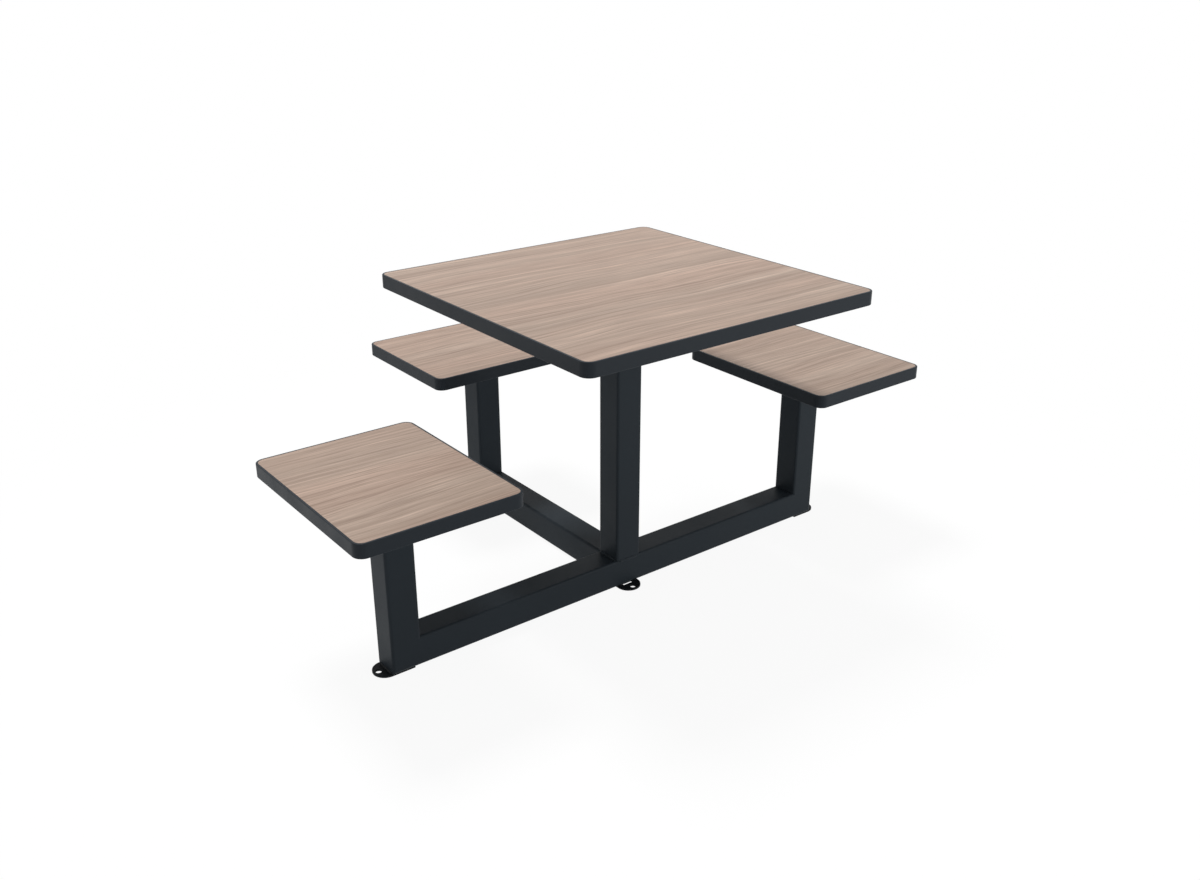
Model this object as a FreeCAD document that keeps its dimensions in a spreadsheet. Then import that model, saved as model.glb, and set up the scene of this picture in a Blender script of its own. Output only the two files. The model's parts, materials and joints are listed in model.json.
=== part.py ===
import FreeCAD, Part
import math
import os

import Sketcher
from FreeCAD import Placement, Rotation, Vector

# Square table with three swivel seats on one welded frame of square tube.
# The origin lies on the floor under the centre post. +X runs along the floor rail, +Y towards the rear
# seat and +Z up; the open side, for a wheelchair, is at -Y. Lengths are in millimetres.

os.makedirs("parts", exist_ok=True)
doc = FreeCAD.newDocument("TableWithSwivelSeats")

# Driving dimensions: name, value, meaning
drivingSizes = [
    ("tableHeight", 750, "floor to the face of the table top"),
    ("tableSize", 780, "side of the square table top"),
    ("seatHeight", 449, "floor to the face of a seat"),
    ("seatDepth", 368, "side of a seat that points at the table"),
    ("seatWidth", 470, "side of a seat along the table's edge"),
    ("seatReach", 604, "centre post to seat post, centre to centre"),
    ("boardThickness", 31, "table top and seats, laminates included"),
    ("boardCorner", 22, "corner radius of the table top and the seats, seen from above"),
    ("bandThickness", 5, "edge band, seen from above"),
    ("bandRound", 1.5, "rounding of the band's upper and lower edge"),
    ("laminateThickness", 0.8, "wood-grain face"),
    ("backerThickness", 0.8, "backing laminate"),
    ("tubeSize", 70, "side of the square tube"),
    ("tubeWall", 3, "wall of the square tube"),
    ("tubeCorner", 6, "outer corner radius of the square tube"),
    ("footThickness", 5, "foot plates, which carry the frame"),
    ("footWidth", 60, "width of a foot plate, rounded at its outer end"),
    ("footLength", 85, "length of a foot plate"),
    ("footProjection", 30, "foot plate beyond the tube's face"),
    ("anchorHole", 14, "floor anchor hole, diameter"),
    ("anchorOffset", 18, "anchor hole centre beyond the tube's face"),
    ("slotLength", 30, "slot in the front foot plate, along the rail"),
    ("slotWidth", 9, "slot in the front foot plate, across the rail"),
    ("slotCorner", 2, "corner radius of that slot"),
    ("slotInset", 3, "slot centre behind the tube's face"),
    ("mountPlateSize", 400, "square plate under the table top"),
    ("mountPlateThickness", 6, "plate under the table top"),
    ("mountPlateCorner", 14, "corner radius of that plate"),
    ("tableScrewInset", 30, "table screws, from the edge of their plate"),
    ("gussetLeg", 60, "legs of the triangular gussets"),
    ("gussetToe", 10, "blunt ends of a gusset"),
    ("gussetNotch", 8, "clipped inner corner of a gusset, clear of the welds"),
    ("gussetThickness", 6, "gusset plate"),
    ("screwRadius", 2.5, "shank of the wood screws"),
    ("screwHeadRadius", 5.5, "pan head of the wood screws"),
    ("screwHeadHeight", 3.2, "pan head of the wood screws"),
    ("screwHeadRound", 1.8, "dome of the pan head"),
    ("screwSocket", 4, "hexagon socket of the wood screws, across flats"),
    ("screwSocketDepth", 1.6, "hexagon socket of the wood screws"),
    ("screwDepth", 18, "wood screw above its steel plate"),
    ("screwPlay", 0.4, "radial clearance of a screw in its steel plate"),
    ("seatPlateDepth", 160, "seat plate, side that points at the table"),
    ("seatPlateWidth", 200, "seat plate, side along the table's edge"),
    ("seatPlateThickness", 5, "seat plate"),
    ("seatPlateCorner", 14, "corner radius of the seat plate"),
    ("seatScrewInset", 18, "seat screws, from the edge of the seat plate that faces the table"),
    ("capThickness", 6, "plate that closes a seat post"),
    ("flangeThickness", 8, "square flange of the swivel housing"),
    ("hubRadius", 22, "outer radius of the swivel housing"),
    ("hubPlay", 0.5, "radial clearance of the housing in the cap plate"),
    ("hubRise", 20, "swivel housing above its flange"),
    ("hubDrop", 42, "swivel housing below its flange"),
    ("boltGap", 1, "housing bolts' heads, clear of the return spring"),
    ("boltRadius", 3, "shank of the housing bolts"),
    ("boltPlay", 0.3, "radial clearance of a bolt in the flange"),
    ("boltHeadRadius", 5, "socket head of the housing bolts"),
    ("boltHeadHeight", 6, "socket head of the housing bolts"),
    ("boltHeadRound", 0.6, "rounding of the bolt heads"),
    ("boltSocket", 5, "hexagon socket of the housing bolts, across flats"),
    ("boltSocketDepth", 3, "hexagon socket of the housing bolts"),
    ("boltLength", 18, "housing bolt below the flange's upper face"),
    ("spindleRadius", 12.5, "seat spindle"),
    ("spindlePlay", 0.05, "radial running clearance of the spindle in its bushes"),
    ("bushWall", 2.5, "wall of the bushes"),
    ("bushLength", 18, "bush inside the housing"),
    ("bushFlangeRadius", 19, "flange of the bushes"),
    ("bushFlangeThickness", 2, "flange of the bushes"),
    ("ringThickness", 1.5, "retaining ring"),
    ("ringRadius", 17, "outer radius of the retaining ring"),
    ("ringPlay", 0.3, "clearance between the ring and the lower bush"),
    ("grooveDepth", 1.2, "ring groove in the spindle"),
    ("groovePlay", 0.1, "clearance of the ring in its groove, each side"),
    ("ringGap", 14, "opening of the retaining ring"),
    ("spindleEnd", 4, "spindle below its ring groove"),
    ("spindleChamfer", 1, "chamfer at the foot of the spindle"),
    ("coilPlay", 3, "return spring's coil round the hub, radial clearance"),
    ("springWireRadius", 1.5, "return spring wire"),
    ("springTurns", 3, "return spring, whole turns between its two legs"),
    ("springPlay", 0.3, "return spring, clearance above the flange and below the seat plate"),
    ("legOverhang", 2, "legs of the return spring, past the moving lug"),
    ("legPlay", 0.2, "clearance of a spring leg beside the pin and the lug"),
    ("pinGap", 2, "fixed spring pin, clear of the coil"),
    ("pinRadius", 2, "fixed spring pin"),
    ("lugThickness", 4, "moving lug, along its radius"),
    ("lugPlay", 1, "clearance of the moving lug past the bolt heads and above the flange"),
]

sizes = doc.addObject("Spreadsheet::Sheet", "Sizes")
for row, (name, size, meaning) in enumerate(drivingSizes, start=1):
    sizes.set(f"A{row}", name)
    sizes.set(f"B{row}", str(size))
    sizes.set(f"C{row}", meaning)
    sizes.setAlias(f"B{row}", name)
doc.recompute()

# Levels above the floor and distances from the swivel axis, worked out from the driving dimensions
derivedSizes = [
    ("tubeTop", "Sizes.footThickness + Sizes.tubeSize"),
    ("tableUnderside", "Sizes.tableHeight - Sizes.boardThickness"),
    ("centrePostTop", "tableUnderside - Sizes.mountPlateThickness"),
    ("seatUnderside", "Sizes.seatHeight - Sizes.boardThickness"),
    ("seatPlateUnderside", "seatUnderside - Sizes.seatPlateThickness"),
    ("hubTop", "seatPlateUnderside - Sizes.bushFlangeThickness"),
    ("flangeTop", "hubTop - Sizes.hubRise"),
    ("capTop", "flangeTop - Sizes.flangeThickness"),
    ("seatPostTop", "capTop - Sizes.capThickness"),
    ("hubFoot", "capTop - Sizes.hubDrop"),
    ("lowerBushFoot", "hubFoot - Sizes.bushFlangeThickness"),
    ("ringTop", "lowerBushFoot - Sizes.ringPlay"),
    ("ringFoot", "ringTop - Sizes.ringThickness"),
    ("spindleFoot", "ringFoot - Sizes.groovePlay - Sizes.spindleEnd"),
    ("coilRadius", "Sizes.hubRadius + Sizes.coilPlay + Sizes.springWireRadius"),
    ("pinOffset", "coilRadius + Sizes.springWireRadius + Sizes.pinGap + Sizes.pinRadius"),
    ("boltCircle", "coilRadius + Sizes.springWireRadius + Sizes.boltGap + Sizes.boltHeadRadius"),
    ("boltOffset", "boltCircle / sqrt(2)"),
    ("lugOffset", "boltCircle + Sizes.boltHeadRadius + Sizes.lugPlay"),
    ("legReach", "lugOffset + Sizes.lugThickness + Sizes.legOverhang"),
    ("tableScrewOffset", "Sizes.mountPlateSize / 2 - Sizes.tableScrewInset"),
    ("seatScrewOffset", "Sizes.seatPlateDepth / 2 - Sizes.seatScrewInset"),
]

derived = doc.addObject("Spreadsheet::Sheet", "Derived")
for row, (name, formula) in enumerate(derivedSizes, start=1):
    derived.set(f"A{row}", name)
    derived.set(f"B{row}", "=" + formula)
    derived.setAlias(f"B{row}", name)
doc.recompute()

# Where the repeated pieces stand: turn about Z in degrees, and X and Y as shares of seatReach
seatStations = {"left": (180, -1, 0), "right": (0, 1, 0), "rear": (90, 0, 1)}
sideTurns = {"right": 0, "rear": 90, "left": 180, "front": 270}
atCentre = (0, 0, 0)

pieces = []


# ---- sketching helpers; every position and size is an expression on the sheets ----

def valueOf(expression):
    return float(sizes.evalExpression(expression))


def newBody(label, station=atCentre):
    """A sub-part of its own, built about the Z axis and then placed at its station."""
    turn, alongX, alongY = station
    body = doc.addObject("PartDesign::Body", label)
    body.Label = label
    body.Placement = Placement(Vector(), Rotation(Vector(0, 0, 1), turn))
    body.setExpression("Placement.Base.x", f"{alongX} * Sizes.seatReach")
    body.setExpression("Placement.Base.y", f"{alongY} * Sizes.seatReach")
    pieces.append(body)
    return body


def originFeature(body, role):
    return [feature for feature in body.Origin.OriginFeatures if feature.Role == role][0]


def newSketch(body, plane="XY_Plane", level=None):
    sketch = body.newObject("Sketcher::SketchObject", body.Label + "_sketch")
    sketch.AttachmentSupport = [(originFeature(body, plane), "")]
    sketch.MapMode = "FlatFace"
    if level:
        sketch.setExpression("AttachmentOffset.Base.z", level)
    return sketch


def constrain(sketch, *constraint):
    sketch.addConstraint(Sketcher.Constraint(*constraint))


def dimension(sketch, kind, *geometryAndExpression):
    """Adds a dimension whose value is bound to an expression."""
    *geometry, expression = geometryAndExpression
    index = sketch.addConstraint(Sketcher.Constraint(kind, *geometry, valueOf(expression)))
    sketch.setExpression(f"Constraints[{index}]", expression)


def fixPoint(sketch, line, end, x=None, y=None):
    """Holds one end of a line, or a circle's centre, at x and y from the sketch's origin."""
    if x is not None:
        dimension(sketch, "DistanceX", -1, 1, line, end, x)
    if y is not None:
        dimension(sketch, "DistanceY", -1, 1, line, end, y)


def addPolygon(sketch, corners):
    points = [Vector(valueOf(x), valueOf(y), 0) for x, y in corners]
    first = sketch.GeometryCount
    for index, start in enumerate(points):
        sketch.addGeometry(Part.LineSegment(start, points[(index + 1) % len(points)]))
    for index, (x, y) in enumerate(corners):
        after = first + (index + 1) % len(corners)
        constrain(sketch, "Coincident", first + index, 2, after, 1)
        fixPoint(sketch, first + index, 1, x, y)


def addRectangle(sketch, halfX, halfY, corner, centreX="0"):
    """A rectangle with rounded corners, given by its half sides and its centre on the sketch's X axis."""
    low, high, half, radius = (valueOf(e) for e in (
        f"{centreX} - {halfX}", f"{centreX} + {halfX}", halfY, corner))
    first = sketch.GeometryCount
    inLow, inHigh, inHalf = low + radius, high - radius, half - radius
    for start, end, cornerAt, quarter in (
            ((inLow, -half), (inHigh, -half), (inHigh, -inHalf), 3),
            ((high, -inHalf), (high, inHalf), (inHigh, inHalf), 0),
            ((inHigh, half), (inLow, half), (inLow, inHalf), 1),
            ((low, inHalf), (low, -inHalf), (inLow, -inHalf), 2)):
        sketch.addGeometry(Part.LineSegment(Vector(*start, 0), Vector(*end, 0)))
        circle = Part.Circle(Vector(*cornerAt, 0), Vector(0, 0, 1), radius)
        sketch.addGeometry(Part.ArcOfCircle(circle, quarter * math.pi / 2, (quarter + 1) * math.pi / 2))
    bottom, right, top, left = first, first + 2, first + 4, first + 6
    for line in (bottom, right, top, left):
        arc = line + 1
        following = first + (line + 2 - first) % 8
        constrain(sketch, "Tangent", line, 2, arc, 1)
        constrain(sketch, "Tangent", arc, 2, following, 1)
    for line in (bottom, top):
        constrain(sketch, "Horizontal", line)
    for line in (right, left):
        constrain(sketch, "Vertical", line)
    for arc in (right + 1, top + 1, left + 1):
        constrain(sketch, "Equal", bottom + 1, arc)
    dimension(sketch, "Radius", bottom + 1, corner)
    fixPoint(sketch, left, 1, x=f"{centreX} - {halfX}")
    fixPoint(sketch, right, 1, x=f"{centreX} + {halfX}")
    fixPoint(sketch, bottom, 1, y=f"-1 * {halfY}")
    fixPoint(sketch, top, 1, y=halfY)


def addCircle(sketch, x, y, radius):
    centre = Vector(valueOf(x), valueOf(y), 0)
    circle = sketch.addGeometry(Part.Circle(centre, Vector(0, 0, 1), valueOf(radius)))
    dimension(sketch, "Radius", circle, radius)
    fixPoint(sketch, circle, 3, x, y)


def addHexagon(sketch, x, y, acrossFlats):
    """A socket's hexagon with two of its flats along X."""
    flat = f"{acrossFlats} / 2"
    point = f"{acrossFlats} / sqrt(3)"
    corners = []
    for alongX, alongY in ((1, 0), (0.5, 1), (-0.5, 1), (-1, 0), (-0.5, -1), (0.5, -1)):
        corners.append((f"{x} + {alongX} * {point}", f"{y} + {alongY} * {flat}"))
    addPolygon(sketch, corners)


def finishFeature(body, feature):
    doc.recompute()
    if not feature.Shape.isValid():
        raise RuntimeError(f"{body.Label}: {feature.Name} is not valid")
    return feature


def pad(body, sketch, length, symmetric=False, downward=False):
    feature = body.newObject("PartDesign::Pad", sketch.Name + "_pad")
    feature.Profile = sketch
    feature.SideType = "Symmetric" if symmetric else "One side"
    feature.Reversed = downward
    feature.setExpression("Length", length)
    return finishFeature(body, feature)


def pocket(body, sketch, depth=None, upward=False):
    """Cuts to a depth, or right through both ways where no depth is given, and checks that it cuts."""
    doc.recompute()
    before = body.Shape.Volume
    feature = body.newObject("PartDesign::Pocket", sketch.Name + "_pocket")
    feature.Profile = sketch
    feature.Reversed = upward
    if depth:
        feature.setExpression("Length", depth)
    else:
        feature.SideType = "Symmetric"
        feature.Type = "ThroughAll"
    finishFeature(body, feature)
    if feature.Shape.Volume >= before:
        raise RuntimeError(f"{body.Label}: {feature.Name} cuts nothing")
    return feature


def revolve(body, sketch):
    feature = body.newObject("PartDesign::Revolution", sketch.Name + "_revolution")
    feature.Profile = sketch
    feature.ReferenceAxis = (originFeature(body, "Z_Axis"), [""])
    feature.Angle = 360
    return finishFeature(body, feature)


def repeatFourTimes(body, features):
    """Copies features to four places a quarter turn apart about the Z axis."""
    pattern = body.newObject("PartDesign::PolarPattern", body.Label + "_pattern")
    pattern.Originals = features
    pattern.Axis = (originFeature(body, "Z_Axis"), [""])
    pattern.Angle = 360
    pattern.Occurrences = 4
    body.Tip = pattern
    return finishFeature(body, pattern)


def fillet(body, base, radius, wanted):
    """Rounds the edges of the base feature that the test function picks."""
    names = [f"Edge{i}" for i, edge in enumerate(base.Shape.Edges, start=1) if wanted(edge)]
    feature = body.newObject("PartDesign::Fillet", body.Label + "_fillet")
    feature.Base = (base, names)
    feature.setExpression("Radius", radius)
    return finishFeature(body, feature)


# ---- welded frame of square tube ----

def addTubeSection(sketch):
    outer = "Sizes.tubeSize / 2"
    inner = "(Sizes.tubeSize / 2 - Sizes.tubeWall)"
    addRectangle(sketch, outer, outer, "Sizes.tubeCorner")
    addRectangle(sketch, inner, inner, "(Sizes.tubeCorner - Sizes.tubeWall)")


def cutMitre(body, corners):
    sketch = newSketch(body, "XZ_Plane")
    addPolygon(sketch, corners)
    return pocket(body, sketch)


def cutRunningMitre(body, direction):
    """Cuts a floor tube at 45 degrees where it meets a seat post, at its end towards +X or -X."""
    outside = f"{direction} * (Sizes.seatReach + Sizes.tubeSize / 2)"
    inside = f"{direction} * (Sizes.seatReach - Sizes.tubeSize / 2)"
    foot, top = "Sizes.footThickness", "Derived.tubeTop"
    cutMitre(body, [(outside, foot), (outside, top), (inside, top)])


# A sketch on the YZ plane turns the tube's section on its side: its X axis is Y and its Y axis is Z.
# The section stands half a tube above the foot plates, through the placement of its sketch.
def newRunningTube(label, station, start):
    body = newBody(label, station)
    sketch = newSketch(body, "YZ_Plane", start)
    sketch.setExpression("AttachmentOffset.Base.y", "Sizes.footThickness + Sizes.tubeSize / 2")
    addTubeSection(sketch)
    return body, sketch


def makeFloorRail():
    body, sketch = newRunningTube("floor_rail", atCentre, None)
    pad(body, sketch, "2 * Sizes.seatReach + Sizes.tubeSize", symmetric=True)
    cutRunningMitre(body, -1)
    cutRunningMitre(body, 1)


def makeRearArm():
    body, sketch = newRunningTube("rear_arm", (90, 0, 0), "Sizes.tubeSize / 2")
    pad(body, sketch, "Sizes.seatReach")
    cutRunningMitre(body, 1)


def makeCentrePost():
    body = newBody("centre_post")
    sketch = newSketch(body, level="Derived.tubeTop")
    addTubeSection(sketch)
    pad(body, sketch, "Derived.centrePostTop - Derived.tubeTop")


def makeSeatPost(side):
    body = newBody(f"seat_post_{side}", seatStations[side])
    sketch = newSketch(body, level="Sizes.footThickness")
    addTubeSection(sketch)
    pad(body, sketch, "Derived.seatPostTop - Sizes.footThickness")
    inside, outside = "-1 * Sizes.tubeSize / 2", "Sizes.tubeSize / 2"
    foot, top = "Sizes.footThickness", "Derived.tubeTop"
    cutMitre(body, [(inside, foot), (outside, foot), (inside, top)])


def makeFootPlate(side):
    """A tongue under the tube's end; its half-round end and anchor hole stand out beyond the tube."""
    station = seatStations.get(side, (sideTurns[side], 0, 0))
    body = newBody(f"foot_plate_{side}", station)
    sketch = newSketch(body)
    tip = "(Sizes.tubeSize / 2 + Sizes.footProjection)"
    innerEnd = f"{tip} - Sizes.footLength"
    roundCentre = f"{tip} - Sizes.footWidth / 2"
    half = "Sizes.footWidth / 2"
    x0, x1, y = valueOf(innerEnd), valueOf(roundCentre), valueOf(half)
    sketch.addGeometry(Part.LineSegment(Vector(x0, y, 0), Vector(x0, -y, 0)))
    sketch.addGeometry(Part.LineSegment(Vector(x0, -y, 0), Vector(x1, -y, 0)))
    sketch.addGeometry(Part.Arc(Vector(x1, -y, 0), Vector(x1 + y, 0, 0), Vector(x1, y, 0)))
    sketch.addGeometry(Part.LineSegment(Vector(x1, y, 0), Vector(x0, y, 0)))
    end, lowerSide, roundEnd, upperSide = range(4)
    constrain(sketch, "Coincident", end, 2, lowerSide, 1)
    constrain(sketch, "Tangent", lowerSide, 2, roundEnd, 1)
    constrain(sketch, "Tangent", roundEnd, 2, upperSide, 1)
    constrain(sketch, "Coincident", upperSide, 2, end, 1)
    constrain(sketch, "Vertical", end)
    constrain(sketch, "Horizontal", lowerSide)
    constrain(sketch, "Horizontal", upperSide)
    fixPoint(sketch, end, 1, innerEnd, half)
    fixPoint(sketch, lowerSide, 2, roundCentre, f"-1 * {half}")
    addCircle(sketch, "Sizes.tubeSize / 2 + Sizes.anchorOffset", "0", "Sizes.anchorHole / 2")
    if side == "front":
        slotCentre = "(Sizes.tubeSize / 2 - Sizes.slotInset)"
        addRectangle(sketch, "Sizes.slotWidth / 2", "Sizes.slotLength / 2", "Sizes.slotCorner", slotCentre)
    pad(body, sketch, "Sizes.footThickness")


def makeMountPlate():
    body = newBody("table_mount_plate")
    sketch = newSketch(body, level="Derived.centrePostTop")
    half = "Sizes.mountPlateSize / 2"
    addRectangle(sketch, half, half, "Sizes.mountPlateCorner")
    pad(body, sketch, "Sizes.mountPlateThickness")
    cutScrewHoles(body, tableScrewPlaces, "Derived.centrePostTop", "Sizes.screwRadius + Sizes.screwPlay",
                  "Sizes.mountPlateThickness")


def makeGusset(side):
    body = newBody(f"gusset_{side}", (sideTurns[side], 0, 0))
    sketch = newSketch(body, "XZ_Plane")
    root, top = "Sizes.tubeSize / 2", "Derived.centrePostTop"
    addPolygon(sketch, [
        (f"{root} + Sizes.gussetNotch", top),
        (f"{root} + Sizes.gussetLeg", top),
        (f"{root} + Sizes.gussetLeg", f"{top} - Sizes.gussetToe"),
        (f"{root} + Sizes.gussetToe", f"{top} - Sizes.gussetLeg"),
        (root, f"{top} - Sizes.gussetLeg"),
        (root, f"{top} - Sizes.gussetNotch"),
    ])
    pad(body, sketch, "Sizes.gussetThickness", symmetric=True)


# ---- fasteners, in places that repeat a quarter turn apart ----

tableScrewPlaces = [
    ("Derived.tableScrewOffset", "Derived.tableScrewOffset"),
    ("Derived.tableScrewOffset", "0"),
]
seatScrewPlaces = [("Derived.seatScrewOffset", "Derived.seatScrewOffset")]
boltPlaces = [("Derived.boltOffset", "Derived.boltOffset")]


def cutScrewHoles(body, places, level, radius, depth):
    """Cuts holes upward from a level, the same ones that the screws pass through."""
    sketch = newSketch(body, level=level)
    for x, y in places:
        addCircle(sketch, x, y, radius)
    repeatFourTimes(body, [pocket(body, sketch, depth, upward=True)])


def makeScrews(label, station, places, seatLevel, fit):
    """Screws that point up from seatLevel, or bolts that point down from it, with round heads and sockets."""
    pointsDown = fit["pointsDown"]
    away = -1 if pointsDown else 1
    body = newBody(label, station)
    headSketch = newSketch(body, level=seatLevel)
    shankSketch = newSketch(body, level=seatLevel)
    socketSketch = newSketch(body, level=f"{seatLevel} - {away} * {fit['headHeight']}")
    for x, y in places:
        addCircle(headSketch, x, y, fit["headRadius"])
        addCircle(shankSketch, x, y, fit["radius"])
        addHexagon(socketSketch, x, y, fit["socket"])
    head = pad(body, headSketch, fit["headHeight"], downward=not pointsDown)
    shank = pad(body, shankSketch, fit["length"], downward=pointsDown)
    socket = pocket(body, socketSketch, fit["socketDepth"], upward=not pointsDown)
    pattern = repeatFourTimes(body, [head, shank, socket])
    outerFace = valueOf(seatLevel) - away * valueOf(fit["headHeight"])
    headRadius = valueOf(fit["headRadius"])

    def isHeadRim(edge):
        if edge.Curve.TypeId != "Part::GeomCircle" or abs(edge.Curve.Radius - headRadius) > tolerance:
            return False
        return abs(edge.Curve.Center.z - outerFace) < tolerance

    fillet(body, pattern, fit["round"], isHeadRim)


tolerance = 1e-4  # for picking edges by their place

woodScrew = {
    "pointsDown": False,
    "radius": "Sizes.screwRadius",
    "headRadius": "Sizes.screwHeadRadius",
    "headHeight": "Sizes.screwHeadHeight",
    "round": "Sizes.screwHeadRound",
    "socket": "Sizes.screwSocket",
    "socketDepth": "Sizes.screwSocketDepth",
}
tableScrew = dict(woodScrew, length="Sizes.mountPlateThickness + Sizes.screwDepth")
seatScrew = dict(woodScrew, length="Sizes.seatPlateThickness + Sizes.screwDepth")
housingBolt = {
    "pointsDown": True,
    "radius": "Sizes.boltRadius",
    "headRadius": "Sizes.boltHeadRadius",
    "headHeight": "Sizes.boltHeadHeight",
    "round": "Sizes.boltHeadRound",
    "socket": "Sizes.boltSocket",
    "socketDepth": "Sizes.boltSocketDepth",
    "length": "Sizes.boltLength",
}


# ---- boards: backing laminate, core, wood-grain laminate and an edge band round all three ----

def makeBoard(prefix, suffix, station, halfX, halfY, underside, screwPlaces):
    inX, inY = f"({halfX} - Sizes.bandThickness)", f"({halfY} - Sizes.bandThickness)"
    inCorner = "(Sizes.boardCorner - Sizes.bandThickness)"
    coreFoot = f"{underside} + Sizes.backerThickness"
    coreThickness = "(Sizes.boardThickness - Sizes.backerThickness - Sizes.laminateThickness)"
    layers = [
        ("backer", underside, "Sizes.backerThickness"),
        ("core", coreFoot, coreThickness),
        ("laminate", f"{coreFoot} + {coreThickness}", "Sizes.laminateThickness"),
    ]
    for layer, foot, thickness in layers:
        body = newBody(f"{prefix}_{layer}{suffix}", station)
        sketch = newSketch(body, level=foot)
        addRectangle(sketch, inX, inY, inCorner)
        pad(body, sketch, thickness)
        if layer == "backer":
            cutScrewHoles(body, screwPlaces, foot, "Sizes.screwRadius", thickness)
        if layer == "core":
            depth = "Sizes.screwDepth - Sizes.backerThickness"
            cutScrewHoles(body, screwPlaces, foot, "Sizes.screwRadius", depth)

    band = newBody(f"{prefix}_edge_band{suffix}", station)
    sketch = newSketch(band, level=underside)
    addRectangle(sketch, halfX, halfY, "Sizes.boardCorner")
    addRectangle(sketch, inX, inY, inCorner)
    ring = pad(band, sketch, "Sizes.boardThickness")
    flatFaces = [face for face in ring.Shape.Faces if len(face.Wires) == 2]
    rims = [edge for face in flatFaces for edge in face.OuterWire.Edges]
    fillet(band, ring, "Sizes.bandRound", lambda edge: any(edge.isSame(rim) for rim in rims))


# ---- swivel of one seat ----

def makePostCap(side):
    body = newBody(f"post_cap_{side}", seatStations[side])
    sketch = newSketch(body, level="Derived.seatPostTop")
    addRectangle(sketch, "Sizes.tubeSize / 2", "Sizes.tubeSize / 2", "Sizes.tubeCorner")
    addCircle(sketch, "0", "0", "Sizes.hubRadius + Sizes.hubPlay")
    pad(body, sketch, "Sizes.capThickness")
    cutScrewHoles(body, boltPlaces, "Derived.seatPostTop", "Sizes.boltRadius", "Sizes.capThickness")


def makeSwivelHousing(side):
    """A square flange with a hub above and below it, and a pin that holds the return spring."""
    body = newBody(f"swivel_housing_{side}", seatStations[side])
    flange = newSketch(body, level="Derived.capTop")
    addRectangle(flange, "Sizes.tubeSize / 2", "Sizes.tubeSize / 2", "Sizes.tubeCorner")
    pad(body, flange, "Sizes.flangeThickness")
    hub = newSketch(body, level="Derived.hubFoot")
    addCircle(hub, "0", "0", "Sizes.hubRadius")
    pad(body, hub, "Derived.hubTop - Derived.hubFoot")
    pin = newSketch(body, level="Derived.flangeTop")
    addCircle(pin, "Derived.pinOffset", "0", "Sizes.pinRadius")
    pad(body, pin, "Derived.seatPlateUnderside - Derived.flangeTop - Sizes.lugPlay")
    bore = newSketch(body, level="Derived.hubFoot")
    addCircle(bore, "0", "0", "Sizes.spindleRadius + Sizes.spindlePlay + Sizes.bushWall")
    pocket(body, bore, "Derived.hubTop - Derived.hubFoot", upward=True)
    cutScrewHoles(body, boltPlaces, "Derived.capTop", "Sizes.boltRadius + Sizes.boltPlay",
                  "Sizes.flangeThickness")


def makeBushes(side):
    """Two flanged bushes, pressed into the housing's upper and lower end."""
    body = newBody(f"swivel_bushes_{side}", seatStations[side])
    sketch = newSketch(body, "XZ_Plane")
    inner = "Sizes.spindleRadius + Sizes.spindlePlay"
    outer = f"{inner} + Sizes.bushWall"
    for end, outward in (("Derived.hubTop", 1), ("Derived.hubFoot", -1)):
        flangeFace = f"{end} + {outward} * Sizes.bushFlangeThickness"
        bushEnd = f"{end} - {outward} * Sizes.bushLength"
        addPolygon(sketch, [
            (inner, bushEnd), (outer, bushEnd), (outer, end),
            ("Sizes.bushFlangeRadius", end), ("Sizes.bushFlangeRadius", flangeFace), (inner, flangeFace),
        ])
    revolve(body, sketch)


def makeSpindle(side):
    """A shaft welded into the seat plate, with a groove for the retaining ring near its foot."""
    body = newBody(f"seat_spindle_{side}", seatStations[side])
    sketch = newSketch(body, "XZ_Plane")
    radius = "Sizes.spindleRadius"
    groove = f"{radius} - Sizes.grooveDepth"
    grooveTop = "Derived.ringTop + Sizes.groovePlay"
    grooveFoot = "Derived.ringFoot - Sizes.groovePlay"
    foot = "Derived.spindleFoot"
    addPolygon(sketch, [
        ("0", foot), (f"{radius} - Sizes.spindleChamfer", foot), (radius, f"{foot} + Sizes.spindleChamfer"),
        (radius, grooveFoot), (groove, grooveFoot), (groove, grooveTop), (radius, grooveTop),
        (radius, "Derived.seatUnderside"), ("0", "Derived.seatUnderside"),
    ])
    revolve(body, sketch)


def makeRetainingRing(side):
    body = newBody(f"retaining_ring_{side}", seatStations[side])
    sketch = newSketch(body, level="Derived.ringFoot")
    addCircle(sketch, "0", "0", "Sizes.ringRadius")
    addCircle(sketch, "0", "0", "Sizes.spindleRadius - Sizes.grooveDepth + Sizes.groovePlay")
    pad(body, sketch, "Sizes.ringThickness")
    opening = newSketch(body, level="Derived.ringFoot")
    half = "Sizes.ringGap / 2"
    addPolygon(opening, [("0", f"-1 * {half}"), ("Sizes.ringRadius + Sizes.ringGap", f"-1 * {half}"),
                         ("Sizes.ringRadius + Sizes.ringGap", half), ("0", half)])
    pocket(body, opening, "Sizes.ringThickness", upward=True)


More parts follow.
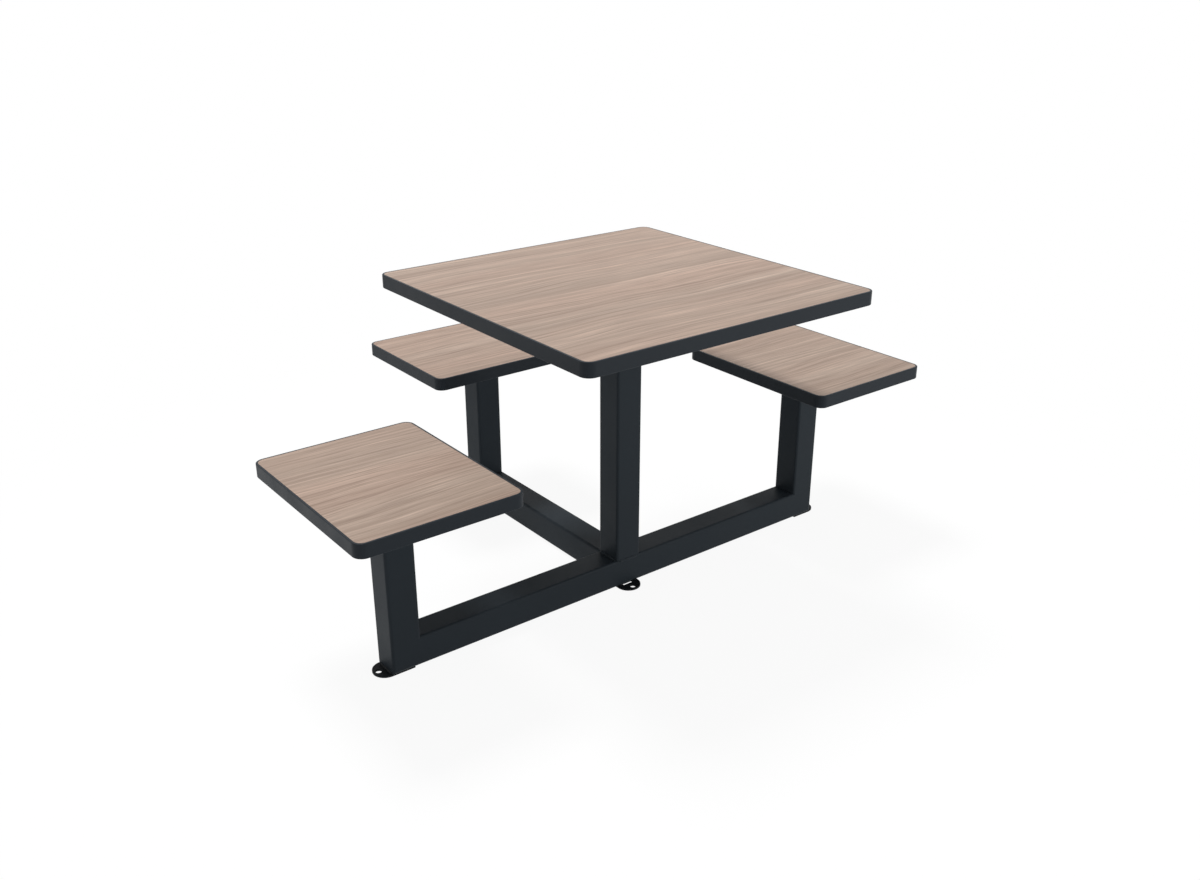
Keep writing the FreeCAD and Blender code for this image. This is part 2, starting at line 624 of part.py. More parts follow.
def makeSeatPlate(side):
    """The plate under a seat, with the lug that turns the return spring."""
    body = newBody(f"seat_plate_{side}", seatStations[side])
    sketch = newSketch(body, level="Derived.seatPlateUnderside")
    addRectangle(sketch, "Sizes.seatPlateDepth / 2", "Sizes.seatPlateWidth / 2", "Sizes.seatPlateCorner")
    addCircle(sketch, "0", "0", "Sizes.spindleRadius")
    pad(body, sketch, "Sizes.seatPlateThickness")
    lug = newSketch(body, level="Derived.seatPlateUnderside")
    near, far = "Derived.lugOffset", "Derived.lugOffset + Sizes.lugThickness"
    half = "Sizes.pinRadius"
    addPolygon(lug, [(near, f"-1 * {half}"), (far, f"-1 * {half}"), (far, half), (near, half)])
    pad(body, lug, "Derived.seatPlateUnderside - Derived.flangeTop - Sizes.lugPlay", downward=True)
    cutScrewHoles(body, seatScrewPlaces, "Derived.seatPlateUnderside", "Sizes.screwRadius + Sizes.screwPlay",
                  "Sizes.seatPlateThickness")


def makeReturnSpring(side):
    """A torsion spring whose two legs lie on either side of the fixed pin and the moving lug."""
    turn, alongX, alongY = seatStations[side]
    legSide = "(Sizes.pinRadius + Sizes.legPlay + Sizes.springWireRadius)"
    legTurn = f"asin({legSide} / Derived.coilRadius)"
    foot = "(Derived.flangeTop + Sizes.springPlay + Sizes.springWireRadius)"
    head = "(Derived.seatPlateUnderside - Sizes.springPlay - Sizes.springWireRadius)"

    helix = doc.addObject("Part::Helix", f"spring_line_{side}")
    helix.setExpression("Radius", "Derived.coilRadius")
    helix.setExpression("Height", f"{head} - {foot}")
    helix.setExpression("Pitch", f"({head} - {foot}) / (Sizes.springTurns + 2 * {legTurn} / 360 deg)")

    wire = doc.addObject("Part::Circle", f"spring_wire_{side}")
    wire.setExpression("Radius", "Sizes.springWireRadius")
    wire.Placement = Placement(Vector(), Rotation(Vector(1, 0, 0), 90))
    wire.setExpression("Placement.Base.x", "Derived.coilRadius")
    doc.recompute()

    coil = doc.addObject("Part::Sweep", f"spring_coil_{side}")
    coil.Sections = [wire]
    coil.Spine = (helix, [f"Edge{i + 1}" for i in range(len(helix.Shape.Edges))])
    coil.Solid = True
    coil.Frenet = True
    doc.recompute()

    turned = doc.addObject("Part::Compound", f"spring_turned_{side}")
    turned.Links = [coil]
    turned.Placement = Placement(Vector(), Rotation(Vector(0, 0, 1), 0))
    turned.setExpression("Placement.Rotation.Angle", f"-1 * {legTurn}")
    turned.setExpression("Placement.Base.z", foot)

    legs = []
    for sign, level in ((-1, foot), (1, head)):
        leg = doc.addObject("Part::Cylinder", f"spring_leg_{side}")
        leg.setExpression("Radius", "Sizes.springWireRadius")
        leg.setExpression("Height", f"Derived.legReach - Derived.coilRadius * cos({legTurn})")
        leg.Placement = Placement(Vector(), Rotation(Vector(0, 1, 0), 90))
        leg.setExpression("Placement.Base.x", f"Derived.coilRadius * cos({legTurn})")
        leg.setExpression("Placement.Base.y", f"{sign} * {legSide}")
        leg.setExpression("Placement.Base.z", level)
        legs.append(leg)

    spring = doc.addObject("Part::MultiFuse", f"return_spring_{side}")
    spring.Label = f"return_spring_{side}"
    spring.Shapes = [turned] + legs
    spring.Placement = Placement(Vector(), Rotation(Vector(0, 0, 1), turn))
    spring.setExpression("Placement.Base.x", f"{alongX} * Sizes.seatReach")
    spring.setExpression("Placement.Base.y", f"{alongY} * Sizes.seatReach")
    doc.recompute()
    pieces.append(spring)


# ---- the whole part ----

makeFloorRail()
makeRearArm()
makeCentrePost()
for side in seatStations:
    makeSeatPost(side)
for side in sideTurns:
    makeFootPlate(side)
makeMountPlate()
for side in sideTurns:
    makeGusset(side)
makeScrews("table_screws", atCentre, tableScrewPlaces, "Derived.centrePostTop", tableScrew)
makeBoard("table", "", atCentre, "Sizes.tableSize / 2", "Sizes.tableSize / 2", "Derived.tableUnderside",
          tableScrewPlaces)
for side, station in seatStations.items():
    makePostCap(side)
    makeSwivelHousing(side)
    makeScrews(f"housing_bolts_{side}", station, boltPlaces, "Derived.flangeTop", housingBolt)
    makeBushes(side)
    makeReturnSpring(side)
    makeSpindle(side)
    makeRetainingRing(side)
    makeSeatPlate(side)
    makeScrews(f"seat_screws_{side}", station, seatScrewPlaces, "Derived.seatPlateUnderside", seatScrew)
    makeBoard("seat", f"_{side}", station, "Sizes.seatDepth / 2", "Sizes.seatWidth / 2",
              "Derived.seatUnderside", seatScrewPlaces)

# ---- check everything, then write each sub-part ----

doc.recompute()
for thing in doc.Objects:
    if "Invalid" in thing.State or "Error" in thing.State:
        raise RuntimeError(f"{thing.Name} failed: {thing.State}")
for piece in pieces:
    if piece.Shape.isNull() or not piece.Shape.isValid() or not piece.Shape.Solids:
        raise RuntimeError(f"{piece.Label} has no valid solid")
for piece in pieces:
    piece.Shape.exportStep(f"parts/{piece.Label}.step")
    print(f"{piece.Label}: {len(piece.Shape.Solids)} solid(s), {piece.Shape.Volume / 1000:.2f} cm3")
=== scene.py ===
import json
import math
import random
import bmesh
import bpy
from mathutils import Matrix, Vector


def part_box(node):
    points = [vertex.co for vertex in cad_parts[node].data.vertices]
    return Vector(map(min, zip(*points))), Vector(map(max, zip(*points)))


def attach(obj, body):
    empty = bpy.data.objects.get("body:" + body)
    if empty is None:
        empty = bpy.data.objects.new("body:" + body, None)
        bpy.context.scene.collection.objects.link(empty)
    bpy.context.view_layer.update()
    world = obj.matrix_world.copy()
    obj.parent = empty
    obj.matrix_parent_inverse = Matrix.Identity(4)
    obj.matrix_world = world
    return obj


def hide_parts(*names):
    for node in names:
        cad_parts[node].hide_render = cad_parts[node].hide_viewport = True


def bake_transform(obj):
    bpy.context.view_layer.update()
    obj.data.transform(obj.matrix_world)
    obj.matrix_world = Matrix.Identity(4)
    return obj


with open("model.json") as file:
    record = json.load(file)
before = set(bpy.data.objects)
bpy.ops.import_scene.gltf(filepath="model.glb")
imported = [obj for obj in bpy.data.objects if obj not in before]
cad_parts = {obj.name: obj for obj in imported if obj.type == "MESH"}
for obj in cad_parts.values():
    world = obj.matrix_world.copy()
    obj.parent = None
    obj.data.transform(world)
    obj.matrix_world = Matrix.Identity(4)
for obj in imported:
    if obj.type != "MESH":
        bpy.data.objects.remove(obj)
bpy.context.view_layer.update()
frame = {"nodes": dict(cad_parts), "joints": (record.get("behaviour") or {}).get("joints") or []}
nodes = frame["nodes"]

# Lengths are in metres and angles in degrees. Noise scales are repeats per metre
usualNoise = (0.3, 0.7)  # most of a noise lies between these
wideNoise = (0.25, 0.75)


# Shader helpers

def paint(red, green, blue):  # screen colour 0 to 255, as the linear colour that a shader wants
    shades = [value / 255 for value in (red, green, blue)]
    linear = [s / 12.92 if s <= 0.04045 else ((s + 0.055) / 1.055) ** 2.4 for s in shades]
    return (*linear, 1.0)


def emptyTree(owner, outputKind):  # the owner is a material or the world
    owner.use_nodes = True
    tree = owner.node_tree
    tree.nodes.clear()
    return tree, tree.nodes.new(outputKind)


def newFinish(name):
    material = bpy.data.materials.new(name)
    tree, output = emptyTree(material, "ShaderNodeOutputMaterial")
    shader = tree.nodes.new("ShaderNodeBsdfPrincipled")
    tree.links.new(shader.outputs["BSDF"], output.inputs["Surface"])
    return material, tree, shader


def feed(tree, socket, value):  # a socket is linked, a number or colour is set
    if isinstance(value, bpy.types.NodeSocket):
        tree.links.new(value, socket)
    else:
        socket.default_value = value


def pieceSpace(tree, shift=(0, 0, 0)):  # metres, and it turns with the seat
    place = tree.nodes.new("ShaderNodeTexCoord")
    move = tree.nodes.new("ShaderNodeMapping")
    tree.links.new(place.outputs["Object"], move.inputs["Vector"])
    move.inputs["Location"].default_value = shift
    return move.outputs["Vector"]


def stretch(tree, vector, scale, slope=0.0):
    mapping = tree.nodes.new("ShaderNodeMapping")
    tree.links.new(vector, mapping.inputs["Vector"])
    mapping.inputs["Rotation"].default_value = (0, 0, math.radians(slope))
    mapping.inputs["Scale"].default_value = scale
    return mapping.outputs["Vector"]


def noise(tree, vector, scale=1.0, detail=2.0, roughness=0.5):
    texture = tree.nodes.new("ShaderNodeTexNoise")
    tree.links.new(vector, texture.inputs["Vector"])
    texture.inputs["Scale"].default_value = scale
    texture.inputs["Detail"].default_value = detail
    texture.inputs["Roughness"].default_value = roughness
    return texture.outputs["Fac"]


def calculate(tree, operation, first, second):
    node = tree.nodes.new("ShaderNodeMath")
    node.operation = operation
    feed(tree, node.inputs[0], first)
    feed(tree, node.inputs[1], second)
    return node.outputs[0]


def vectorMath(tree, operation, first, second=None, scale=None):
    node = tree.nodes.new("ShaderNodeVectorMath")
    node.operation = operation
    feed(tree, node.inputs[0], first)
    if second is not None:
        feed(tree, node.inputs[1], second)
    if scale is not None:
        feed(tree, node.inputs["Scale"], scale)
    return node.outputs["Value" if operation in ("LENGTH", "DOT_PRODUCT") else "Vector"]


def remap(tree, value, low, high, toLow, toHigh):
    node = tree.nodes.new("ShaderNodeMapRange")
    feed(tree, node.inputs["Value"], value)
    for name, number in (("From Min", low), ("From Max", high), ("To Min", toLow), ("To Max", toHigh)):
        node.inputs[name].default_value = number
    return node.outputs["Result"]


def vary(tree, value, share):  # a noise turned into a factor about 1
    return remap(tree, value, *wideNoise, 1 - share, 1 + share)


def mottle(tree, colour, fine, fineShare, patch, patchShare):  # a plain colour, varied by two noises
    factor = calculate(tree, "MULTIPLY", vary(tree, fine, fineShare), vary(tree, patch, patchShare))
    return vectorMath(tree, "SCALE", colour[:3], scale=factor)


def blendColour(tree, factor, first, second):
    node = tree.nodes.new("ShaderNodeMix")
    node.data_type = "RGBA"
    feed(tree, node.inputs["Factor"], factor)
    feed(tree, node.inputs["A"], first)
    feed(tree, node.inputs["B"], second)
    return node.outputs["Result"]


def coverShader(tree, shader, colour, roughness, height, relief):  # relief: the depth of the height texture
    tree.links.new(colour, shader.inputs["Base Color"])
    tree.links.new(roughness, shader.inputs["Roughness"])
    node = tree.nodes.new("ShaderNodeBump")
    node.inputs["Distance"].default_value = relief
    tree.links.new(height, node.inputs["Height"])
    tree.links.new(node.outputs["Normal"], shader.inputs["Normal"])


# Wood-grain laminate. The grain runs along X, and repeats are given along and across it
wood = {
    "warm": paint(192, 165, 148),
    "cool": paint(187, 165, 149),
    "roughness": (0.42, 0.54),
    "specular": 0.22,
    "shadeShare": (0.90, 1.0, 1.06),  # red, green and blue: the dark grain is a little greyer
    "drift": {"repeats": (1.3, 4.0), "reach": 0.034},  # broad sway of the grain lines
    "swirl": {"repeats": (3.5, 12.0), "reach": 0.008},  # small sway on top of it
    "layers": {  # light and dark along the grain, from the broadest to the finest
        "broad": {"repeats": (0.55, 13.0), "share": 0.19},
        "streak": {"repeats": (1.0, 42.0), "share": 0.155, "detail": 3.0, "roughness": 0.6},
        "line": {"repeats": (1.6, 135.0), "share": 0.23},
        "grain": {"repeats": (9.0, 400.0), "share": 0.30, "detail": 3.0, "roughness": 0.6},
    },
    # Marks: between its two edges, the noise goes from the first value to the second
    "tone": {"repeats": (0.40, 8.0), "edges": (0.32, 0.68), "values": (0.0, 1.0)},  # from cool to warm
    "stroke": {"repeats": (6.0, 230.0), "edges": (0.52, 0.68), "values": (0.0, 1.0), "slope": -5.5},
    "patch": {"repeats": (1.1, 7.5), "edges": (0.50, 0.60), "values": (0.0, 0.22)},  # how dark strokes are
    "glint": {"repeats": (1.0, 85.0), "edges": (0.60, 0.72), "values": (1.0, 1.16), "detail": 3.0},
    "fibre": {"repeats": (90.0, 2400.0), "edges": (0.58, 0.72), "values": (1.0, 0.90)},
    "grainHeight": 0.6,  # in the relief, beside the fibres' values
    "relief": 0.00008,
    # Where in the figure each board is cut, so that no two look alike. The left board's cut puts a lighter
    # part of the broad layer on its side beside the table: painted light, against the table's shade there
    "boards": {"table": (0.0, 0.0), "left": (6.7, -1.6), "right": (-11.9, -0.4), "rear": (3.7, -0.81)},
}


def makeWood(board):
    material, tree, shader = newFinish(f"wood_grain_{board}")
    place = pieceSpace(tree, (*wood["boards"][board], 0))

    def sideways(look):
        waves = noise(tree, stretch(tree, place, (*look["repeats"], 0)), detail=1.0)
        return remap(tree, waves, 0, 1, -look["reach"], look["reach"])

    offset = tree.nodes.new("ShaderNodeCombineXYZ")
    sway = calculate(tree, "ADD", sideways(wood["drift"]), sideways(wood["swirl"]))
    tree.links.new(sway, offset.inputs["Y"])
    flow = vectorMath(tree, "ADD", place, offset.outputs["Vector"])

    def layer(look):
        vector = stretch(tree, flow, (*look["repeats"], 0), look.get("slope", 0.0))
        return noise(tree, vector, detail=look.get("detail", 2.0), roughness=look.get("roughness", 0.5))

    def marks(look):
        return remap(tree, layer(look), *look["edges"], *look["values"])

    layers = {name: layer(look) for name, look in wood["layers"].items()}
    shade = 1.0
    for name, look in wood["layers"].items():
        shade = calculate(tree, "MULTIPLY", shade, vary(tree, layers[name], look["share"]))
    darkened = calculate(tree, "MULTIPLY", marks(wood["stroke"]), marks(wood["patch"]))
    pores = marks(wood["fibre"])
    for factor in (calculate(tree, "SUBTRACT", 1.0, darkened), marks(wood["glint"]), pores):
        shade = calculate(tree, "MULTIPLY", shade, factor)

    tone = blendColour(tree, marks(wood["tone"]), wood["cool"], wood["warm"])
    change = vectorMath(tree, "SCALE", wood["shadeShare"], scale=calculate(tree, "SUBTRACT", shade, 1.0))
    colour = vectorMath(tree, "MULTIPLY", tone, vectorMath(tree, "ADD", change, (1, 1, 1)))
    grain = layers["grain"]
    roughness = remap(tree, grain, *usualNoise, *wood["roughness"])
    height = calculate(tree, "ADD", remap(tree, grain, *usualNoise, 0.0, wood["grainHeight"]), pores)
    coverShader(tree, shader, colour, roughness, height, wood["relief"])
    shader.inputs["Specular IOR Level"].default_value = wood["specular"]
    return material


# Charcoal edge band, and the plain matt sheet under the boards: both have a fine pebbled face
band = {
    "colour": paint(45, 51, 57),
    "roughness": (0.37, 0.47),
    "specular": 0.105,
    "pebble": 1500.0,
    "pebbleShare": 0.08,
    "patch": 14.0,
    "patchDetail": 3.0,
    "patchShare": 0.05,
    "relief": 0.00006,
}
backing = {
    "colour": paint(70, 72, 74),
    "roughness": (0.55, 0.70),
    "specular": 0.2,
    "pebble": 900.0,
    "pebbleShare": 0.07,
    "patch": 5.0,
    "patchDetail": 4.0,
    "patchShare": 0.08,
    "relief": 0.00008,
}


def makeSheet(name, look):
    material, tree, shader = newFinish(name)
    place = pieceSpace(tree)
    pebble = noise(tree, place, look["pebble"])
    patch = noise(tree, place, look["patch"], detail=look["patchDetail"])
    colour = mottle(tree, look["colour"], pebble, look["pebbleShare"], patch, look["patchShare"])
    roughness = remap(tree, patch, *usualNoise, *look["roughness"])
    coverShader(tree, shader, colour, roughness, pebble, look["relief"])
    shader.inputs["Specular IOR Level"].default_value = look["specular"]
    return material


# Powder coat on the steel frame: fine orange peel, and edges rubbed a little lighter
coat = {
    "colour": paint(46, 53, 59),
    # the feet's colour is the same coat made darker: painted shade, for the shade the foot plates lie in
    "footPaintedShade": paint(27, 30, 33),
    "worn": paint(74, 77, 80),
    "roughness": (0.46, 0.56),
    "specular": 0.1,
    "peel": 700.0,
    "fleck": 2600.0,
    "fleckShare": 0.10,
    "fleckHeight": 0.3,  # beside the peel's height of 1
    "patch": 7.0,
    "patchShare": 0.06,
    "relief": 0.0001,
    "edge": {"radius": 0.0012, "samples": 6, "match": (0.99, 0.80)},  # match: on a face, on an edge
    "rub": {"repeats": 60.0, "edges": (0.48, 0.66), "values": (0.0, 0.35)},
}


def edgeMask(tree, edge):  # 1 along sharp edges, 0 on the faces
    rounded = tree.nodes.new("ShaderNodeBevel")
    rounded.samples = edge["samples"]
    rounded.inputs["Radius"].default_value = edge["radius"]
    geometry = tree.nodes.new("ShaderNodeNewGeometry")
    sameness = vectorMath(tree, "DOT_PRODUCT", rounded.outputs["Normal"], geometry.outputs["Normal"])
    return remap(tree, sameness, *edge["match"], 0.0, 1.0)


def makePowderCoat(name, paintColour):
    material, tree, shader = newFinish(name)
    place = pieceSpace(tree)
    peel = noise(tree, place, coat["peel"])
    fleck = noise(tree, place, coat["fleck"], detail=1.0)
    patch = noise(tree, place, coat["patch"], detail=4.0)
    plain = mottle(tree, paintColour, fleck, coat["fleckShare"], patch, coat["patchShare"])
    rub = coat["rub"]
    rubbed = remap(tree, noise(tree, place, rub["repeats"], detail=3.0), *rub["edges"], *rub["values"])
    wear = calculate(tree, "MULTIPLY", edgeMask(tree, coat["edge"]), rubbed)
    colour = blendColour(tree, wear, plain, coat["worn"])
    roughness = remap(tree, patch, *usualNoise, *coat["roughness"])
    height = calculate(tree, "ADD", peel, remap(tree, fleck, 0.0, 1.0, 0.0, coat["fleckHeight"]))
    coverShader(tree, shader, colour, roughness, height, coat["relief"])
    shader.inputs["Specular IOR Level"].default_value = coat["specular"]
    return material


# Pressed wood chips inside the boards
core = {
    "dark": paint(150, 118, 84),
    "light": paint(205, 176, 134),
    "roughness": (0.75, 0.92),
    "flake": 260.0,
    "flatness": 2.4,
    "relief": 0.00015,
}


def makeBoardCore():
    material, tree, shader = newFinish("board_core_chips")
    flakes = tree.nodes.new("ShaderNodeTexVoronoi")
    flakes.inputs["Scale"].default_value = core["flake"]
    tree.links.new(stretch(tree, pieceSpace(tree), (1, 1, core["flatness"])), flakes.inputs["Vector"])
    split = tree.nodes.new("ShaderNodeSeparateColor")
    tree.links.new(flakes.outputs["Color"], split.inputs["Color"])
    colour = blendColour(tree, split.outputs["Red"], core["dark"], core["light"])
    roughness = remap(tree, split.outputs["Green"], 0, 1, *core["roughness"])
    coverShader(tree, shader, colour, roughness, split.outputs["Blue"], core["relief"])
    return material


# Bare metals of the swivels and fasteners. Clouds run from dull to bright
metals = {
    "zinc_plate": {"dull": paint(176, 178, 180), "bright": paint(206, 207, 206), "roughness": (0.30, 0.46),
                   "cloud": 180.0, "fine": 2400.0},
    "spring_wire": {"dull": paint(58, 58, 60), "bright": paint(96, 96, 98), "roughness": (0.34, 0.50),
                    "cloud": 120.0, "fine": 3000.0},
    "bronze": {"dull": paint(150, 112, 62), "bright": paint(196, 156, 96), "roughness": (0.36, 0.52),
               "cloud": 300.0, "fine": 3600.0},
}
metalCloud = (0.35, 0.65)  # where the noise is dull and where it is bright
metalRelief = 0.00003


def makeMetal(name):
    look = metals[name]
    material, tree, shader = newFinish(name)
    place = pieceSpace(tree)
    cloud = noise(tree, place, look["cloud"], detail=4.0, roughness=0.6)
    fine = noise(tree, place, look["fine"])
    colour = blendColour(tree, remap(tree, cloud, *metalCloud, 0.0, 1.0), look["dull"], look["bright"])
    roughness = remap(tree, cloud, *usualNoise, *look["roughness"])
    coverShader(tree, shader, colour, roughness, fine, metalRelief)
    shader.inputs["Metallic"].default_value = 1.0
    return material


powderCoat = makePowderCoat("powder_coat_charcoal", coat["colour"])
# the foot plates' coat is the frame's coat made darker: painted shade
footShadedCoat = makePowderCoat("powder_coat_feet_painted_shade", coat["footPaintedShade"])
metalLooks = {name: makeMetal(name) for name in metals}
woodLooks = {board: makeWood(board) for board in wood["boards"]}
finishFor = {
    "edge_band": makeSheet("edge_band_charcoal", band),
    "backing_laminate": makeSheet("backing_matt_grey", backing),
    "board_core": makeBoardCore(),
    "frame_powder_coat": powderCoat,
    "zinc_steel": metalLooks["zinc_plate"],
    "spring_steel": metalLooks["spring_wire"],
    "bush_bronze": metalLooks["bronze"],
}
print("finishes made")


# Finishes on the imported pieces
for name, piece in nodes.items():
    for holder in piece.material_slots:
        slotName = holder.material.name.split(".")[0]
        if slotName == "wood_laminate":
            holder.material = woodLooks[name.split("_")[-1] if name.startswith("seat") else "table"]
        # foot plates get the darker coat: painted shade
        elif name.startswith("foot_plate"):
            holder.material = footShadedCoat
        else:
            holder.material = finishFor[slotName]
print("finishes put on the packed pieces")


# Cut edges of the steel plates and caps, broken a little as after grinding
brokenEdge = {"width": 0.0006, "segments": 2, "angle": 40.0, "join": 0.000005}
platePrefixes = ("foot_plate", "gusset", "table_mount_plate", "post_cap", "seat_plate", "swivel_housing")


def breakEdges(piece):
    join = piece.modifiers.new("join", "WELD")
    join.merge_threshold = brokenEdge["join"]
    bevel = piece.modifiers.new("broken_edge", "BEVEL")
    bevel.width = brokenEdge["width"]
    bevel.segments = brokenEdge["segments"]
    bevel.limit_method = "ANGLE"
    bevel.angle_limit = math.radians(brokenEdge["angle"])
    bevel.loop_slide = False  # otherwise facets turn over where arcs begin
    bevel.harden_normals = True


for name, piece in nodes.items():
    if name.startswith(platePrefixes):
        breakEdges(piece)
print("plate edges broken")


# Helpers for the added pieces

def skinRings(bm, rings, smooth=False):  # faces from ring to ring, and one over each end
    for ring, following in zip(rings, rings[1:]):
        for index in range(len(ring)):
            after = (index + 1) % len(ring)
            face = bm.faces.new((ring[index], ring[after], following[after], following[index]))
            face.smooth = smooth
    bm.faces.new(rings[0])
    bm.faces.new(reversed(rings[-1]))


def turned(bm, fromVertex, degrees, place=(0, 0, 0)):  # turns about Z what was added since fromVertex
    bm.verts.ensure_lookup_table()
    fresh = bm.verts[fromVertex:]
    spin = Matrix.Translation(place) @ Matrix.Rotation(math.radians(degrees), 4, "Z")
    bmesh.ops.transform(bm, matrix=spin, verts=fresh)


def newObject(bm, name, finish):
    mesh = bpy.data.meshes.new(name)
    bm.to_mesh(mesh)
    bm.free()
    mesh.materials.append(finish)
    added = bpy.data.objects.new(name, mesh)
    bpy.context.scene.collection.objects.link(added)
    return added


def newPiece(bm, name, finish):
    bmesh.ops.recalc_face_normals(bm, faces=bm.faces)
    piece = newObject(bm, name, finish)
    return piece


# Sizes that the beads and springs share with the frame
tube = {"corner": 0.006, "half": 0.035}
flat = tube["half"] - tube["corner"]  # half of a tube's flat side
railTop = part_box("floor_rail")[1][2]
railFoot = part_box("floor_rail")[0][2]
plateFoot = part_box("table_mount_plate")[0][2]
sideTurns = {"right": 0, "rear": 90, "left": 180}  # what is laid out for the right seat is turned by these
swivelAxes = {joint["child"]: joint["pos_m"][:2] for joint in frame["joints"]}  # X and Y, by the seat's body


# Weld beads. A bead lies between two toes, given from its root line, and has ripples and rounded ends
bead = {
    "leg": 0.0032,         # along each plate
    "sink": 0.0003,        # into both plates, so that no gap shows
    "crown": 0.30,         # rise of the middle, as a share of half the width
    "pitch": 0.0024,       # from one ripple to the next
    "ripple": 0.14,        # share by which ripples change the rise
    "lean": 0.4,           # a ripple's middle lies this share of the pitch nearer the bead's start
    "wander": 0.07,        # share by which the size changes slowly along the bead
    "wanderSteps": 12,     # steps from one random size to the next
    "step": 0.0006,        # along the bead
    "fewestSteps": 8,
    "tip": 0.06,           # share of the size left at the rounded ends
    "arcPoints": 7,        # from toe to toe
    "seed": 11,
}
# A bead over the rounded corner of a tube that meets a flush face. Its root lies inside the corner
overCorner = {
    "root": 0.65 * tube["corner"],
    "proud": 0.0002,       # both toes, above the face
    "past": 0.0004,        # toe on the tube, beyond the end of the rounding
    "onto": 0.0006,        # toe on the other piece
}
chance = random.Random(bead["seed"])


def addBead(bm, start, end, toeA, toeB):
    start, end, toeA, toeB = (Vector(point) for point in (start, end, toeA, toeB))
    length = (end - start).length
    along = (end - start) / length
    roundEnd = max(toeA.length, toeB.length)
    middle = (toeA + toeB) / 2
    outward = middle.normalized() * (toeA - toeB).length / 2 * bead["crown"]
    stations = max(bead["fewestSteps"], round(length / bead["step"]))
    phase = chance.uniform(0, 1)
    swells = stations // bead["wanderSteps"] + 3
    swell = [chance.uniform(-bead["wander"], bead["wander"]) for _ in range(swells)]
    rings = []
    for index in range(stations + 1):
        distance = length * index / stations
        fromEnd = min(distance, length - distance, roundEnd) / roundEnd
        taper = max(bead["tip"], math.sqrt(1 - (1 - fromEnd) ** 2))
        part = index / bead["wanderSteps"]
        whole = int(part)
        size = taper * (1 + swell[whole] + (swell[whole + 1] - swell[whole]) * (part - whole))
        ring = [bm.verts.new(start + along * distance)]
        for step in range(bead["arcPoints"]):
            share = step / (bead["arcPoints"] - 1)
            arch = 4 * share * (1 - share)  # 0 at the toes, 1 midway
            travel = (distance + bead["lean"] * bead["pitch"] * arch) / bead["pitch"]
            scallop = abs(math.sin(math.pi * (travel + phase)))
            rise = outward * (arch * (1 + bead["ripple"] * (scallop * 2 - 1)))
            ring.append(bm.verts.new(start + along * distance + (toeA.lerp(toeB, share) + rise) * size))
        rings.append(ring)
    skinRings(bm, rings)


def addFillet(bm, start, end, sideA, sideB):  # sides point along the two plates
    sideA = Vector(sideA)
    sideB = Vector(sideB)
    sink = (sideA + sideB) * bead["sink"]
    grown = bead["leg"] + bead["sink"]
    addBead(bm, Vector(start) - sink, Vector(end) - sink, sideA * grown, sideB * grown)


def finishBeads(bm, name, finish):
    piece = newPiece(bm, name, finish)
    piece.data.shade_smooth()
    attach(piece, "frame")


def weldPostFoot():
    bm = bmesh.new()
    face = tube["half"]
    root = overCorner["root"]
    proud = root + overCorner["proud"]
    for side in (-1, 1):
        addFillet(bm, (side * face, -flat, railTop), (side * face, flat, railTop), (side, 0, 0), (0, 0, 1))
        line = (side * (face - root), railTop - root)
        toeDown = (0, side * proud, root - tube["corner"] - overCorner["past"])
        toeUp = (0, side * proud, root + overCorner["onto"])
        addBead(bm, (-flat, *line), (flat, *line), toeDown, toeUp)
    finishBeads(bm, "weld_centre_post_foot", powderCoat)


def weldRearArm():
    bm = bmesh.new()
    face = tube["half"]
    root = overCorner["root"]
    proud = root + overCorner["proud"]
    for side in (-1, 1):
        low = (side * face, face, railFoot + tube["corner"])
        high = (side * face, face, railTop - tube["corner"])
        addFillet(bm, low, high, (side, 0, 0), (0, 1, 0))
    for level, up in ((railTop, 1), (railFoot, -1)):
        line = (face - root, level - up * root)
        toeRail = (0, root - tube["corner"] - overCorner["past"], up * proud)
        toeArm = (0, root + overCorner["onto"], up * proud)
        addBead(bm, (-flat, *line), (flat, *line), toeRail, toeArm)
    finishBeads(bm, "weld_rear_arm", powderCoat)


# Beads on the foot plates: one across each tongue, and on the front plate one at each side of the slot
footWeld = {"reach": 0.027, "fromSlot": 0.018}  # from the plate's middle line, to where beads end and begin


def weldFeet():
    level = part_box("foot_plate_left")[1][2]
    face = tube["half"]
    for side, turn in sideTurns.items():
        bm = bmesh.new()
        ends = [(face, reach, level) for reach in (-footWeld["reach"], footWeld["reach"])]
        addFillet(bm, *ends, (1, 0, 0), (0, 0, 1))
        turned(bm, 0, turn, (*swivelAxes[f"seat_{side}"], 0))
        # beads on the foot plates get the darker coat too: painted shade
        finishBeads(bm, f"weld_foot_plate_{side}", footShadedCoat)
    bm = bmesh.new()
    root = overCorner["root"]
    toePlate = (0, -root - bead["leg"], -bead["sink"])
    toeRail = (0, -root - overCorner["proud"], tube["corner"])
    for side in (-1, 1):
        ends = [(side * reach, root - face, level) for reach in (footWeld["fromSlot"], footWeld["reach"])]
        addBead(bm, *ends, toePlate, toeRail)
    # in the darker coat: painted shade
    finishBeads(bm, "weld_foot_plate_front", footShadedCoat)


# Gussets between the centre post and the mount plate
gusset = {
    "leg": 0.060,
    "notch": 0.008,        # clipped inner corner
    "half": 0.003,         # half its thickness
    "shortBy": 0.001,      # a bead ends before the gusset does
}


